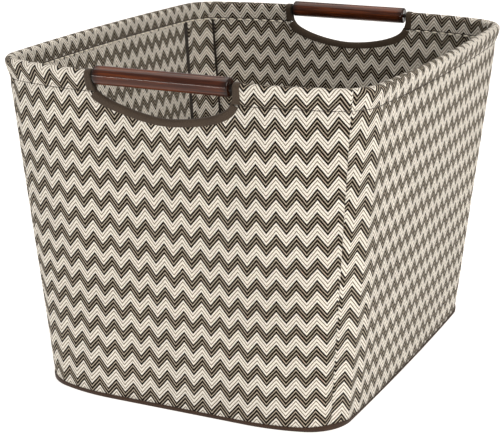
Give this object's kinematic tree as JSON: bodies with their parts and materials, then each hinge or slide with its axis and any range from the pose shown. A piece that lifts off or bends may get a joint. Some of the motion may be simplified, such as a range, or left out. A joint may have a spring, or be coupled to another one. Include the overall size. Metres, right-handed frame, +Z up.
{
  "type": "fabric storage bin",
  "caption": "Tapered open-topped fabric storage bin with a wire rim, board-stiffened walls, bound hand openings and turning wooden grips.",
  "frame": {"origin": "centre of the base where it meets the floor", "axes": "+X along a short face, +Y from the front grip to the back grip, +Z up"},
  "size_m": [0.356, 0.4238, 0.2998],
  "materials": {
    "dark_wire": "dark brown powder-coated steel wire",
    "lacquered_wood": "dark cherry stain under gloss lacquer",
    "woven_cover": "zigzag weave in dark brown and cream",
    "lining_cloth": "the same zigzag weave, used inside",
    "binding_tape": "dark brown plain-woven bias tape",
    "base_cloth": "dark brown non-woven cloth",
    "stiff_board": "grey chipboard, hidden between cloth layers"
  },
  "bodies": {
    "bin": {"rim_wire": "dark_wire", "wire_joiner": "dark_wire", "front_cover": "woven_cover", "back_cover": "woven_cover", "left_cover": "woven_cover", "right_cover": "woven_cover", "left_hem": "woven_cover", "right_hem": "woven_cover", "front_board": "stiff_board", "back_board": "stiff_board", "left_board": "stiff_board", "right_board": "stiff_board", "front_lining": "lining_cloth", "back_lining": "lining_cloth", "left_lining": "lining_cloth", "right_lining": "lining_cloth", "front_left_corner_strip": "lining_cloth", "front_right_corner_strip": "lining_cloth", "back_left_corner_strip": "lining_cloth", "back_right_corner_strip": "lining_cloth", "front_opening_binding": "binding_tape", "back_opening_binding": "binding_tape", "front_left_hem_tape": "binding_tape", "front_right_hem_tape": "binding_tape", "back_left_hem_tape": "binding_tape", "back_right_hem_tape": "binding_tape", "base_cloth": "base_cloth", "base_board": "stiff_board", "base_lining": "lining_cloth", "base_binding": "binding_tape"},
    "front_grip": {"front_grip": "lacquered_wood"},
    "back_grip": {"back_grip": "lacquered_wood"}
  },
  "joints": [
    {"name": "front_grip_spin", "type": "hinge", "parent": "bin", "child": "front_grip", "pos_m": [0, -0.204, 0.292], "axis": [1, 0, 0], "continuous": true},
    {"name": "back_grip_spin", "type": "hinge", "parent": "bin", "child": "back_grip", "pos_m": [0, 0.204, 0.292], "axis": [1, 0, 0], "continuous": true}
  ]
}
